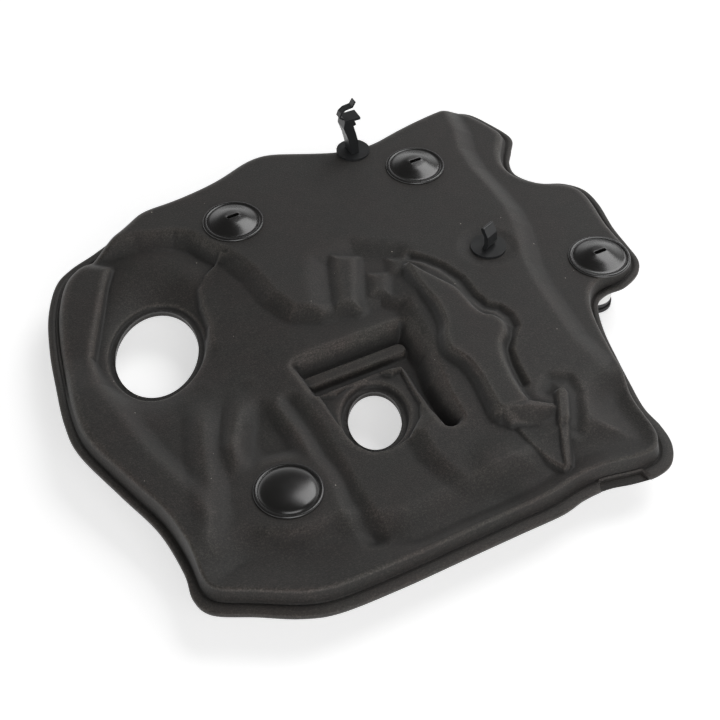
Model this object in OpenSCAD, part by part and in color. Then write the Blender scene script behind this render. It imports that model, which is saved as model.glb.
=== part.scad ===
// Moulded acoustic cover that sits on top of a car engine.
// A foam panel with a felt skin is held by four push-on ball mounts. Each mount is a cap
// above the panel, a housing below it and a rubber socket. Two clips hold lines and hoses.
// The frame has +X along the straight front edge, +Y to the rear and +Z up, and the
// mounts stand on z = 0.

/* [Panel edge] */
// Length of the panel along its front edge
cover_l = 409; // [380:1:440]
// Width of the panel from its front to its rear
cover_w = 378; // [350:1:410]
// Width of the flat lip round the sides and rear
lip_side = 5; // [3:0.5:7]
// Width of the flat lip along the front edge
lip_front = 8; // [5:0.5:10]
// Thickness of the pressed lip
lip_t = 3; // [2:0.5:5]
// Height of the underside of the lip above the mount feet
lip_z = 23; // [20:1:25]
// How far the edge wall leans inwards
wall_lean = 2; // [1:0.5:3]

/* [Panel levels] */
// Height of the rear plateau above the mount feet
plateau_z = 46; // [44:1:49]
// Height of the middle field in front of the plateau
middle_z = 39; // [37:1:41]
// Height of the low field round the front left cap
low_z = 35; // [34:1:37]
// Height of the side lobe that carries the right cap
lobe_z = 40; // [38:1:42]
// Thickness of the foam under the field
foam_t = 9; // [7:0.5:11]
// Thickness of the foam under the trench
trench_foam_t = 3.5; // [3:0.5:5]
// How much higher the lip lies along the rear than along the front
lip_climb = 7; // [3:0.5:8]

/* [Panel relief] */
// Depth of the angled trench behind the smaller opening, below the middle field
trench_depth = 14; // [10:1:16]
// How much a wall of the trench rises for each unit that it runs
trench_slope = 2; // [1.5:0.25:3]
// Rise of the rib in the trench
rib_rise = 5; // [3:0.5:7]
// Drop of the plate round the smaller opening, below the middle field
plate_drop = 6; // [4:0.5:9]
// Rise of the curved strip above the plateau
strip_rise = 4.5; // [3:0.5:6]
// Depth of the bowl round the oval opening
bowl_depth = 16; // [12:1:17]
// Height of the crest of the front edge above the mount feet
front_crest_z = 36; // [33:0.5:38]
// Depth of the valley behind the front edge
valley_depth = 6.5; // [3:0.5:8]

/* [Openings] */
// Length of the oval opening
oval_l = 78; // [60:1:84]
// Width of the oval opening
oval_w = 53; // [40:1:58]
// Length of the smaller opening
port_l = 48; // [36:1:50]
// Width of the smaller opening
port_w = 33; // [24:1:35]
// Width of the pressed rim round both openings
rim_w = 5; // [3:0.5:6]
// Thickness of the pressed rim round both openings
rim_t = 3.5; // [2.5:0.5:5]

/* [Caps] */
// Diameter of each mount cap
cap_d = 42; // [36:1:46]
// Thickness of the cap rim
cap_rim_t = 1.6; // [1.2:0.2:2.4]
// Width of the rolled rim of the cap
cap_roll = 3; // [2:0.5:4]
// Rise of the cap crown above its rim
cap_rise = 4; // [3:0.5:6]
// Length of the tool slot in a cap
slot_l = 9; // [6:0.5:12]
// Width of the tool slot in a cap
slot_w = 3; // [2:0.5:4]
// Depth of the tool slot in a cap
slot_depth = 3; // [2:0.5:4]
// Diameter of the stem below a cap
stem_d = 13; // [10:0.5:15]

/* [Mounts] */
// Outer diameter of a mount housing
housing_d = 23; // [22:0.5:26]
// Diameter of the flange at the top of a housing
flange_d = 28; // [26:1:34]
// Thickness of the housing flange
flange_t = 2; // [1.5:0.5:3]
// Thickness of the partition between the stem and the socket
web_t = 2; // [1.5:0.5:3]
// Wall of a mount housing
housing_wall = 2; // [1.5:0.25:2.5]
// Length of the rubber socket inside the housing
socket_l = 13; // [10:0.5:14]
// Diameter of the ball that the socket takes
ball_d = 10; // [8:0.5:12]
// Height of the rubber foot below the housing
foot_h = 3; // [2:0.5:4]
// Diameter of the rubber foot
foot_d = 25; // [24:0.5:28]
// Clearance between pieces that slide into each other
fit = 0.2; // [0.1:0.05:0.4]

/* [Label] */
// Height of the bare label round the right housing
label_h = 12; // [8:1:13]
// Thickness of the label
label_t = 0.3; // [0.2:0.1:0.5]
// Angle that the label covers
label_angle = 310; // [200:10:340]

/* [Clips] */
// Diameter of the round base of a clip
clip_base_d = 24; // [20:1:28]
// Thickness of the clip base
clip_base_t = 1.6; // [1.2:0.2:2.4]
// Width of the clip post
clip_w = 10; // [6:0.5:11]
// Thickness of the right clip's finger
finger_t = 3; // [2:0.5:4]
// Thickness of the rear clip's post at its base
post_t = 6; // [4:0.5:8]
// Height of the post of the rear clip
post_h = 31; // [22:1:34]
// Thickness of the thin jaw above the post
jaw_t = 1.2; // [1:0.1:2]
// Height of the finger of the right clip
finger_h = 17; // [10:1:22]
// Diameter of the push-in peg of a clip
peg_d = 7; // [5:0.5:9]

/* [Hidden] */
$fn = 64;
eps = 0.01;
above_z = 80;
crown_steps = 6;
slot_turn = 0;
peg_l = foam_t + 9;
peg_head_d = peg_d + 3;
clip_rear_turn = -3;
clip_right_turn = -70;
label_z = foot_h + 4;
label_turn = 100;

// Length and width that the plan points below were drawn for. The whole plan is stretched
// from these to the length and width above.
drawn_l = 409;
drawn_w = 378;

// Corners of the outer edge of the lip, joined by a smooth closed curve
edge_corners = [
    [-182, -151], [-161, -164], [-140, -177], [-119, -184], [-81, -186], [-41, -186],
    [-1, -186], [27, -186], [44, -183], [61, -183], [77, -187], [93, -189], [106, -185],
    [115, -173], [118, -158], [118, -141], [123, -119], [128, -99], [135, -74], [145, -53],
    [157, -47], [171, -47], [186, -41], [194, -31], [196, -16], [198, 4], [204, 30],
    [204, 48], [195, 61], [180, 70], [171, 85], [174, 99], [184, 112], [192, 125],
    [187, 148], [179, 166], [162, 174], [135, 172], [108, 167], [86, 162], [66, 166],
    [45, 176], [20, 188], [-1, 188], [-30, 178], [-62, 173], [-89, 172], [-107, 162],
    [-129, 152], [-148, 145], [-163, 134], [-178, 108], [-189, 76], [-196, 48],
    [-203, 15], [-204, -12], [-194, -52], [-185, -86], [-184, -118], [-187, -137]];
edge_steps = 6;

// Positions of the mounts and clips in plan, and the height of each seat
rear_left_at = [-37, 122];
rear_right_at = [103, 115];
right_at = [165, -24];
front_left_at = [-109, -101];
clip_rear_at = [73, 152];
clip_right_at = [102, 16];
seat_at = [rear_left_at, rear_right_at, right_at, front_left_at];
seat_z = [plateau_z, plateau_z, lobe_z, low_z];
clip_at = [clip_rear_at, clip_right_at];
clip_seat_z = [plateau_z, plateau_z - 1];
seat_r = cap_d/2 + 1.5;
clip_seat_r = clip_base_d/2 + 1.5;
pad_r = flange_d/2 + 1;

// Openings in plan
oval_at = [-128, 47];
oval_turn = 62;
oval_rim_z = plateau_z - bowl_depth - 2;
port_at = [-35, -72];
port_turn = 62;
plate_z = middle_z - plate_drop;
port_rim_z = plate_z - 4;
trench_z = middle_z - trench_depth;

// Mesh of the panel: points round the edge, the middle of the rings, how far the underside
// looks round for a lower top, the points of a rounded corner and the sides of an opening
edge_n = 128;
middle_at = [0, -30];
under_reach = 6;
corner_steps = 3;
opening_sides = 48;

// Smooth step from 0 at a to 1 at b
function ease(a, b, x) = let (t = min(1, max(0, (x - a)/(b - a)))) t*t*(3 - 2*t);
function wrap(i, n) = (i % n + n) % n;
function turn(p, angle) =
    [p.x*cos(angle) - p.y*sin(angle), p.x*sin(angle) + p.y*cos(angle)];

// Closed smooth curve through a list of corners
function curve_point(a, b, c, d, t) =
    0.5*(2*b + (c - a)*t + (2*a - 5*b + 4*c - d)*t*t + (3*b - a - 3*c + d)*t*t*t);
function smooth_loop(pts, steps) = let (n = len(pts)) [
    for (i = [0:n - 1], k = [0:steps - 1])
        curve_point(pts[wrap(i - 1, n)], pts[i], pts[wrap(i + 1, n)], pts[wrap(i + 2, n)],
            k/steps)];
// Closed line with each corner rounded over a length r of its sides
function toward(p, q, r) = p + (q - p)*min(0.48, r/norm(q - p));
function rounded(pts, r) = let (n = len(pts)) [
    for (i = [0:n - 1]) let (
        b = pts[i],
        a = toward(b, pts[wrap(i - 1, n)], r),
        c = toward(b, pts[wrap(i + 1, n)], r))
        for (k = [0:corner_steps]) let (t = k/corner_steps)
            a*(1 - t)*(1 - t) + 2*b*t*(1 - t) + c*t*t];

// Points spaced evenly along a closed line
function lengths(pts) = [
    for (i = 0, s = 0; i <= len(pts);
        s = s + norm(pts[wrap(i + 1, len(pts))] - pts[wrap(i, len(pts))]), i = i + 1) s];
function place(s, sums, lo, hi) =
    hi - lo < 2 ? lo :
    let (mid = floor((lo + hi)/2)) s < sums[mid] ? place(s, sums, lo, mid) :
    place(s, sums, mid, hi);
function even_loop(pts, n) = let (sums = lengths(pts), total = sums[len(pts)]) [
    for (k = [0:n - 1]) let (
        s = total*k/n,
        i = place(s, sums, 0, len(pts)),
        t = (s - sums[i])/(sums[i + 1] - sums[i]))
        pts[i]*(1 - t) + pts[wrap(i + 1, len(pts))]*t];

// Distance of a point from a segment, a path and the edge of an area (negative inside)
function off_segment(p, a, b) = let (
    ab = b - a,
    t = min(1, max(0, (p - a)*ab/(ab*ab))))
    norm(p - a - ab*t);
function off_path(p, pts) =
    min([for (i = [0:len(pts) - 2]) off_segment(p, pts[i], pts[i + 1])]);
function crossings(p, pts) = len([
    for (i = [0:len(pts) - 1]) let (a = pts[i], b = pts[wrap(i + 1, len(pts))])
        if ((a.y > p.y) != (b.y > p.y) && p.x < (b.x - a.x)*(p.y - a.y)/(b.y - a.y) + a.x) 1]);
function off_area(p, pts) = let (
    d = min([for (i = [0:len(pts) - 1])
        off_segment(p, pts[i], pts[wrap(i + 1, len(pts))])]))
    crossings(p, pts) % 2 == 1 ? -d : d;

// Rough distance outside an ellipse
function off_ellipse(p, at, l, w, angle) = let (q = turn(p - at, -angle),
    k = norm([q.x/(l/2), q.y/(w/2)]))
    (k - 1)*norm(q)/max(k, 0.001);

// High ground: the rear plateau, the land right of the trench and the front mound
high_ground = [
    [-261, 150], [-136, 144], [-101, 140], [-77, 131], [-61, 118], [-54, 98], [-48, 73],
    [-47, 46], [-41, 26], [-25, 16], [17, 12], [27, -2], [23, -32], [11, -72], [-3, -90],
    [-21, -98], [-24, -117], [-20, -137], [-13, -154], [-13, -260], [260, -260],
    [260, 260], [-261, 260]];
// Step down to the lobe on the right
lobe_area = [
    [174, 260], [161, 155], [157, 138], [148, 117], [144, 95], [143, 66], [141, 44],
    [137, 28], [129, 8], [121, -11], [116, -31], [113, -52], [109, -82], [111, -112],
    [260, -112], [260, 260]];
// Left bank and the crease at its foot
bank_area = [
    [-261, 148], [-151, 140], [-129, 127], [-143, 104], [-156, 83], [-171, 58],
    [-175, 31], [-173, 3], [-169, -37], [-161, -72], [-159, -97], [-167, -120],
    [-261, -132]];
crease = [[-129, 127], [-143, 104], [-156, 83], [-171, 58]];
// Field beside the oval opening that the bowl stops at
beside_bowl = [
    [-54, 98], [-57, 101], [-73, 91], [-83, 81], [-88, 66], [-91, 48], [-101, 28],
    [-119, 7], [-130, -8], [-60, -60], [-20, 0], [-44, 60]];
// Sharp foot of the bowl beside the oval opening
bowl_foot = [[-57, 101], [-73, 91], [-83, 81], [-88, 66], [-91, 48]];
// Floor of the two legs of the trench, and the plate round the smaller opening
trench_legs = [
    [[-57, -15], [15, -16], [14, -39], [-12, -39], [-57, -39]],
    [[15, -16], [13, -44], [7, -64], [4, -84], [3, -101], [1, -101], [0, -80], [1, -60], [3, -40]]];
plate_corners = [
    [-58, -43], [-48, -46], [-40, -43], [-14, -43], [-9, -48], [-2, -47], [-4, -62], [-6, -78],
    [-12, -88], [-26, -99], [-40, -102], [-52, -99], [-58, -88], [-59, -66]];
rib_ends = [[-54, -25], [8, -26]];
rib_w = 9.5;
// Curved strip that ends in a slope, the pad in front of it and the bar beside it
strip_corners = [
    [46, 30], [56, 14], [62, 0], [63, -30], [70, -42], [69, -56], [58, -70], [51, -88],
    [47, -113], [30, -111], [33, -78], [29, -60], [33, -46], [43, -32], [45, -18],
    [41, -4], [42, 12]];
slope_corners = [[30, -111], [47, -113], [58, -130], [32, -130]];
pad_corners = [[33, -128], [58, -128], [57, -146], [45, -163], [38, -147]];
bar_line = [[68, -118], [56, -136], [46, -160]];
bar_w = 7;
// Length of the front lip that is cut away near the right corner
notch_corners = [[56, -200], [56, -178], [62, -176], [84, -177], [87, -184], [86, -200]];
// Fingers on the front slope of the plateau and the hollow that they stand in
finger_hollow = [[-18, 22], [-9, 45], [1, 54], [19, 54], [37, 38], [35, 9], [6, 8]];
finger_lines = [[[10, 50], [-6, 18]], [[29, 35], [18, 12]], [[44, 33], [31, 5]]];
finger_slope = 0.6;
finger_w = [15, 11, 13];
finger_drop = [0, 3, 3];
// Folds between the oval opening and the front left cap
folds = [
    [[-128, -22], [-138, -46], [-149, -78]],
    [[-111, -32], [-123, -55], [-132, -78]]];
fold_rise = 3;
fold_w = 10;
hollow_at = [-96, -58];
hollow_r = 24;
hollow_depth = 5;
// Shallow valley that runs forward from the trench past the front left cap
long_fold = [[-76, -40], [-75, -62], [-77, -90], [-79, -121], [-80, -152]];

// Levels of the ground that the relief is cut into
function high_z(p) =
    plateau_z
    - 3*ease(20, -20, p.y)*ease(60, 30, p.x)
    - 6*ease(-50, -165, p.y);
function mid_z(p) =
    low_z + (middle_z - low_z)*ease(-110, -40, p.x)*ease(-110, -10, p.y);
// The bowl rises along its crease and away from it, and like a funnel round the opening
function bowl_z(p) = let (
    off = off_ellipse(p, oval_at, oval_l, oval_w, oval_turn),
    q = turn(p - crease[3], -oval_turn),
    low = plateau_z - bowl_depth)
    min(low + 0.07*max(0, q.x) + 0.13*min(39, max(0, -q.y)) + 0.4*max(0, -q.y - 66),
        low + 0.3*max(0, off - 5));
function bank_z(p) = let (off = off_area(p, bank_area))
    middle_z + 1 - ease(-2, 26, off)*3 - (0.5 + 1.1*ease(20, 60, p.y))*max(0, off);

// Slope behind the crest of the front edge: long at the left, short at the right
function front_z(p, z, inset) = let (
    run = 32 - 20*ease(-100, -56, p.x),
    drop = valley_depth*(1 - 0.45*ease(20, 70, p.x)),
    crest = front_crest_z + ease(20, 60, p.x),
    valley = crest - drop)
    inset < run ? crest - drop*ease(-run/3, run, inset) :
    valley + (z - valley)*ease(run, run + 24, inset);

// Height of the soft moulded top at a plan point, where inset is the distance from the crest
function ground_z(p, inset) = let (
    base = mid_z(p) + (high_z(p) - mid_z(p))*ease(9, -6, off_area(p, high_ground)),
    bowl = min(base, bowl_z(p)),
    soft = 5 + 18*ease(8, 45, off_path(p, bowl_foot)),
    funnel = p.x > -40 ? base : bowl + (base - bowl)*ease(soft, -soft, off_area(p, beside_bowl)),
    left = p.x > -40 ? base : max(funnel, min(base + 6, bank_z(p))),
    lobe = p.x < 90 ? left : left + (lobe_z - left)*ease(8, -8, off_area(p, lobe_area)),
    front = lobe + (front_z(p, lobe, inset) - lobe)*ease(-108, -135, p.y))
    p.x > -50 ? front :
    front + fold_rise*max([for (f = folds) ease(fold_w, 0, off_path(p, f))])
        - hollow_depth*ease(hollow_r, hollow_r/4, norm(p - hollow_at))
        - 2.5*ease(12, 0, off_path(p, long_fold));

// Ground with flat seats worked in under the caps and clips
function seat_blend(p, z, i) = i < 0 ? z :
    seat_blend(p, z + (seat_z[i] - z)*ease(seat_r + 14, seat_r, norm(p - seat_at[i])), i - 1);
function clip_blend(p, z, i) = i < 0 ? z :
    clip_blend(p, z + (clip_seat_z[i] - z)
        *ease(clip_seat_r + 10, clip_seat_r, norm(p - clip_at[i])), i - 1);
function face_z(p, inset) = clip_blend(p, seat_blend(p, ground_z(p, inset), 3), 1);

// Height of the underside, kept below every cut that is made in the top
function under_z(p, inset) = let (
    face = min([for (d = [[0, 0], [1, 0], [-1, 0], [0, 1], [0, -1]])
        face_z(p + d*under_reach, inset)]),
    oval_off = off_ellipse(p, oval_at, oval_l, oval_w, oval_turn),
    foamed = face - foam_t,
    port_off = off_ellipse(p, port_at, port_l, port_w, port_turn),
    trench_off = min([for (leg = trench_legs) off_area(p, leg)]),
    plate = foamed + (min(foamed, port_rim_z - rim_t) - foamed)*ease(22, 10, port_off),
    trench = plate + (min(plate, trench_z - trench_foam_t) - plate)*ease(14, 4, trench_off))
    trench + (min(trench, oval_rim_z - rim_t) - trench)*ease(18, rim_w + 4, oval_off);

// Rings of the panel
function lip_w(p) = lip_side + (lip_front - lip_side)*ease(-120, -160, p.y);
function edge_z(p) = lip_z + lip_climb*ease(-150, 30, p.y);
function inward(pts, i) = let (n = len(pts), d = pts[wrap(i + 1, n)] - pts[wrap(i - 1, n)])
    [-d.y, d.x]/norm(d);
function inset_loop(pts, extra) = [
    for (i = [0:len(pts) - 1]) pts[i] + inward(pts, i)*(extra + lip_w(pts[i]))];
function edge_ring(pts, up) = [for (p = pts) [p.x, p.y, edge_z(p) + up]];
function every(pts, k) = [for (i = [0:k:len(pts) - 1]) pts[i]];
function thinning(share) = share > 0.45 ? 1 : share > 0.2 ? 2 : share > 0.1 ? 4 : 8;
// Shares of the way from the middle to the crest at which the rings lie
function top_shares() = [for (s = [0.96:-0.04:0.05]) s];
function under_shares() = [for (s = [0.92:-0.07:0.08]) s];

function field_ring(crest, share) = [
    for (q = every(crest, thinning(share))) let (p = middle_at + (q - middle_at)*share)
        [p.x, p.y, face_z(p, norm(q - p))]];
function under_ring(crest, share) = [
    for (q = every(crest, 2*thinning(share))) let (p = middle_at + (q - middle_at)*share)
        [p.x, p.y, under_z(p, norm(q - p))]];

// Triangles between two rings, where the second may have half as many points
function rise(p, q) = abs(p.z - q.z);
function band(ring, a, next, b) = let (n = len(ring), m = len(next)) n == m ?
    [for (i = [0:n - 1]) let (j = wrap(i + 1, n))
        each rise(ring[i], next[j]) < rise(next[i], ring[j]) ?
            [[a + i, b + i, b + j], [a + i, b + j, a + j]] :
            [[a + i, b + i, a + j], [a + j, b + i, b + j]]] :
    [for (i = [0:m - 1]) let (j = wrap(i + 1, m), p = a + 2*i, q = p + 1, r = a + wrap(2*i + 2, n))
        each [[p, b + i, q], [q, b + i, b + j], [q, b + j, r]]];
function starts(rings) = [for (i = 0, s = 0; i <= len(rings);
    s = s + (i < len(rings) ? len(rings[i]) : 0), i = i + 1) s];
function skin(rings, at) = [for (k = [0:len(rings) - 2])
    each band(rings[k], at[k], rings[k + 1], at[k + 1])];
function flip(faces) = [for (f = faces) [f[2], f[1], f[0]]];
function fan(at, n, tip) = [for (i = [0:n - 1]) [at + i, tip, at + wrap(i + 1, n)]];
function sum(pts, k) = k < 0 ? [0, 0, 0] : pts[k] + sum(pts, k - 1);
function mean(pts) = sum(pts, len(pts) - 1)/len(pts);
function last(list) = list[len(list) - 1];

// The soft moulded solid between the top and the underside
module moulding() {
    outline = even_loop(smooth_loop(edge_corners, edge_steps), edge_n);
    groove = inset_loop(outline, 0);
    crest = inset_loop(outline, wall_lean);
    top = concat(
        [edge_ring(outline, 0), edge_ring(outline, lip_t), edge_ring(groove, lip_t - 0.5)],
        [[for (p = crest) [p.x, p.y, face_z(p, 0)]]],
        [for (s = top_shares()) field_ring(crest, s)]);
    under = concat(
        [top[0], edge_ring(inset_loop(outline, wall_lean + 3), 0)],
        [for (s = under_shares()) under_ring(crest, s)]);
    top_at = starts(top);
    tail = last(top_at) - edge_n;
    under_at = [for (k = [0:len(under) - 1]) k == 0 ? 0 : starts(under)[k] + tail];
    points = concat([for (r = top) each r],
        [for (k = [1:len(under) - 1]) each under[k]], [mean(last(top)), mean(last(under))]);
    tip = len(points) - 2;
    polyhedron(points, concat(
        skin(top, top_at),
        fan(top_at[len(top) - 1], len(last(top)), tip),
        flip(skin(under, under_at)),
        flip(fan(last(under_at), len(last(under)), tip + 1))), convexity = 8);
}

// Moves to a point of the plan, or stretches shapes that are drawn on it
module stand(p, z) {
    translate([p.x*cover_l/drawn_l, p.y*cover_w/drawn_w, z])
        children();
}

module stretched() {
    scale([cover_l/drawn_l, cover_w/drawn_w, 1])
        children();
}

// Straight prism over an area, between two heights
module block(pts, r, from, to) {
    translate([0, 0, from])
        linear_extrude(to - from)
            polygon(rounded(pts, r));
}

// Cutter over a convex area whose walls lean outwards
module cutter(pts, floor_z, slope) {
    h = above_z - floor_z;
    translate([0, 0, floor_z])
        hull() {
            linear_extrude(eps)
                polygon(pts);
            translate([0, 0, h])
                linear_extrude(eps)
                    offset(r = h/slope, $fn = 24)
                        polygon(pts);
        }
}

// Solid under a sloped top: each area of the top has its own height
module wedge(areas, root_z, tops) {
    hull()
        for (i = [0:len(areas) - 1])
            translate([0, 0, root_z])
                linear_extrude(tops[i] - root_z)
                    polygon(areas[i]);
}

// Bar along a line whose top falls from point to point
module falling_bar(line, w, root_z, tops) {
    for (i = [0:len(line) - 2])
        hull()
            for (k = [i, i + 1])
                translate([line[k].x, line[k].y, root_z])
                    cylinder(d1 = w, d2 = w - 2, h = tops[k] - root_z, $fn = 24);
}

// Bar with round ends along a line in plan
module finger(ends, w, from, to) {
    d = ends[1] - ends[0];
    translate([ends[0].x, ends[0].y, from])
        rotate([0, 0, atan2(d.y, d.x)])
            linear_extrude(to - from) {
                translate([0, -w/2])
                    square([norm(d), w]);
                circle(d = w);
                translate([norm(d), 0])
                    circle(d = w);
            }
}

// Prism over an oval area
module oval(at, l, w, angle, from, to) {
    stand(at, from)
        rotate([0, 0, angle])
            linear_extrude(to - from)
                polygon([for (a = [0:360/opening_sides:359]) [cos(a)*l/2, sin(a)*w/2]]);
}

// Seat of a cap above the panel and of a housing flange below it
module seat_pad(i) {
    stand(seat_at[i], seat_z[i] - foam_t)
        cylinder(r = pad_r, h = foam_t);
}

module seat_cut(i) {
    stand(seat_at[i], 0) {
        translate([0, 0, seat_z[i]])
            cylinder(r = seat_r, h = above_z);
        cylinder(r = pad_r, h = seat_z[i] - foam_t);
        cylinder(d = stem_d + 2*fit, h = above_z);
    }
}

module clip_cut(i) {
    stand(clip_at[i], 0) {
        translate([0, 0, clip_seat_z[i]])
            cylinder(r = clip_seat_r, h = above_z);
        cylinder(d = peg_d + 2*fit, h = above_z);
        cylinder(d = peg_head_d + 2*fit, h = clip_seat_z[i] - foam_t);
    }
}

// Forms that stand on the moulding
module raised_forms() {
    root_z = plateau_z - foam_t + 1.5;
    strip_z = plateau_z + strip_rise;
    pad_z = plateau_z - 6;
    finger(rib_ends, rib_w, trench_z - 1, trench_z + rib_rise);
    block(strip_corners, 7, root_z, strip_z);
    wedge([slope_corners, [slope_corners[0], slope_corners[1], [46, -115], [31, -113]]],
        root_z - 3, [pad_z, strip_z]);
    wedge([pad_corners, [pad_corners[0], pad_corners[1], [57, -131], [34, -131]]],
        root_z - 5, [pad_z - 4, pad_z]);
    falling_bar(bar_line, bar_w, root_z - 5, [pad_z + 5.5, pad_z + 1, pad_z - 3]);
    for (i = [0:2])
        finger(finger_lines[i], finger_w[i], root_z, plateau_z - finger_drop[i]);
}

module panel() {
    color([0.16, 0.155, 0.15])
        difference() {
            union() {
                stretched() {
                    difference() {
                        moulding();
                        for (leg = trench_legs)
                            cutter(leg, trench_z, trench_slope);
                        block(plate_corners, 6, plate_z, above_z);
                        cutter(finger_hollow, plateau_z - 4, finger_slope);
                        block(notch_corners, 3, 0, above_z);
                    }
                    raised_forms();
                }
                for (i = [0:3])
                    seat_pad(i);
            }
            oval(oval_at, oval_l, oval_w, oval_turn, 0, above_z);
            oval(oval_at, oval_l + 2*rim_w, oval_w + 2*rim_w, oval_turn, oval_rim_z, above_z);
            oval(port_at, port_l, port_w, port_turn, 0, above_z);
            oval(port_at, port_l + 2*rim_w, port_w + 2*rim_w, port_turn, port_rim_z, above_z);
            for (i = [0:3])
                seat_cut(i);
            for (i = [0:1])
                clip_cut(i);
        }
}

// Cap with a rolled rim, a crown and a stem. A blind cap is a smooth dome, the others are
// low cones with a slot for a tool. The profile runs from the crown to the outer edge.
function crown(blind) = let (r = cap_d/2 - cap_roll, valley_z = cap_rim_t*0.4) blind ?
    [for (a = [90:-90/crown_steps:0]) [r*cos(a), valley_z + cap_rise*sin(a)]] :
    [[0, cap_rim_t + cap_rise], [slot_l/2 + 1, cap_rim_t + cap_rise],
        [slot_l/2 + 2.5, cap_rim_t + cap_rise - 0.4], [r, valley_z]];
function roll() = let (valley_z = cap_rim_t*0.4) [
    for (a = [150:-30:0])
        [cap_d/2 - cap_roll/2*(1 - cos(a)), valley_z + (cap_rim_t - valley_z)*sin(a)]];

module cap(i, blind) {
    stem_l = stem_reach(i) - web_t;
    color([0.06, 0.06, 0.065])
        stand(seat_at[i], seat_z[i])
            difference() {
                rotate_extrude()
                    polygon(concat(crown(blind), roll(), [
                        [cap_d/2, 0],
                        [stem_d/2, 0],
                        [stem_d/2, -stem_l],
                        [0, -stem_l]]));
                if (!blind)
                    rotate([0, 0, slot_turn])
                        translate([0, 0, cap_rim_t + cap_rise - slot_depth])
                            linear_extrude(slot_depth + 1)
                                obround(slot_l, slot_w);
            }
}

module obround(l, w) {
    square([l - w, w], center = true);
    for (s = [-1, 1])
        translate([s*(l - w)/2, 0])
            circle(d = w);
}

// How far a stem reaches below its seat, down to the partition of the housing
function stem_reach(i) = seat_z[i] - foot_h - socket_l;

// Cup under the panel that takes the stem from above and the rubber socket from below
module housing(i) {
    top = seat_z[i] - foam_t;
    web = foot_h + socket_l;
    color([0.13, 0.13, 0.135])
        stand(seat_at[i], 0)
            rotate_extrude()
                polygon([
                    [0, web], [socket_r() + fit, web], [socket_r() + fit, foot_h],
                    [housing_d/2, foot_h], [housing_d/2, top - flange_t],
                    [flange_d/2, top - flange_t], [flange_d/2, top],
                    [stem_d/2 + fit, top], [stem_d/2 + fit, web + web_t], [0, web + web_t]]);
}

function socket_r() = housing_d/2 - housing_wall - fit;

// Rubber socket with a bore for the ball and a foot below the housing
module socket(i) {
    color([0.09, 0.09, 0.09])
        stand(seat_at[i], 0)
            difference() {
                union() {
                    cylinder(r = socket_r(), h = foot_h + socket_l - fit);
                    cylinder(d = foot_d, h = foot_h);
                }
                translate([0, 0, -eps])
                    cylinder(d = ball_d, h = foot_h + socket_l - 3);
                translate([0, 0, -eps])
                    cylinder(d1 = ball_d + 4, d2 = ball_d, h = 2);
            }
}

// Round base and peg that both clips share
module clip_foot() {
    cylinder(d = clip_base_d, h = clip_base_t);
    translate([0, 0, -peg_l])
        cylinder(d = peg_d, h = peg_l + eps);
    translate([0, 0, -peg_l])
        cylinder(d1 = peg_d - 2, d2 = peg_head_d, h = peg_l - foam_t);
}

// Clip behind the cap at the rear right: a leaning post with a flat head, and a thin open
// jaw above it
module clip_rear() {
    color([0.2, 0.21, 0.22])
        stand(clip_rear_at, clip_seat_z[0]) {
            clip_foot();
            rotate([90, 0, clip_rear_turn]) {
                linear_extrude(clip_w, center = true)
                    polygon(post_profile());
                linear_extrude(clip_w/2, center = true)
                    stroke(jaw_line(), jaw_t);
            }
        }
}

// Side view of the post: it leans to the left, and the head overhangs it on the right
function post_profile() = let (h = post_h, t = post_t/2) [
    [-t - 0.5, 0], [t - 0.5, 0], [t - 1.4, h*0.4], [t - 3, h*0.62], [t - 4.8, h*0.83],
    [t - 2.7, h*0.86], [t - 4, h*0.97], [t + 0.6, h*0.97], [t + 0.5, h + 1],
    [-t - 5.7, h + 1], [-t - 6.6, h*0.83], [-t - 3.4, h*0.53], [-t - 1.6, h*0.27]];
function jaw_line() = [for (p = [[-8, 0.3], [-11.2, 3.2], [-10, 6.4], [-7, 8.6], [-1.5, 9.3],
    [0.5, 12.8]]) p + [0, post_h]];

// Rounded line of one thickness through a list of points
module stroke(pts, t) {
    for (i = [0:len(pts) - 2]) {
        d = pts[i + 1] - pts[i];
        translate(pts[i])
            rotate([0, 0, atan2(d.y, d.x)])
                translate([0, -t/2])
                    square([norm(d), t]);
        translate(pts[i])
            circle(d = t, $fn = 24);
        translate(pts[i + 1])
            circle(d = t, $fn = 24);
    }
}

// Finger clip in front of the right cap: one curved finger
module clip_right() {
    color([0.2, 0.21, 0.22])
        stand(clip_right_at, clip_seat_z[1]) {
            clip_foot();
            rotate([90, 0, clip_right_turn])
                linear_extrude(clip_w, center = true)
                    stroke([[0, finger_t/2], [1.5, finger_h*0.35], [1, finger_h*0.7],
                        [-2, finger_h]], finger_t);
        }
}

// Bare label wrapped round the right housing
module label() {
    r = housing_d/2 + 0.05;
    color([0.93, 0.93, 0.92])
        stand(right_at, label_z)
            rotate([0, 0, label_turn])
                rotate_extrude(angle = label_angle)
                    translate([r, 0])
                        square([label_t, label_h]);
}

panel();
cap(0, false);  // cap_rear_left
cap(1, false);  // cap_rear_right
cap(2, false);  // cap_right
cap(3, true);  // cap_front_left
housing(0);  // housing_rear_left
housing(1);  // housing_rear_right
housing(2);  // housing_right
housing(3);  // housing_front_left
socket(0);  // socket_rear_left
socket(1);  // socket_rear_right
socket(2);  // socket_right
socket(3);  // socket_front_left
clip_rear();
clip_right();
label();
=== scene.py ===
import math

import bpy
import numpy as np
from bpy.props import FloatProperty, FloatVectorProperty, PointerProperty
from mathutils import Matrix, Vector
from mathutils.geometry import delaunay_2d_cdt


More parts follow.
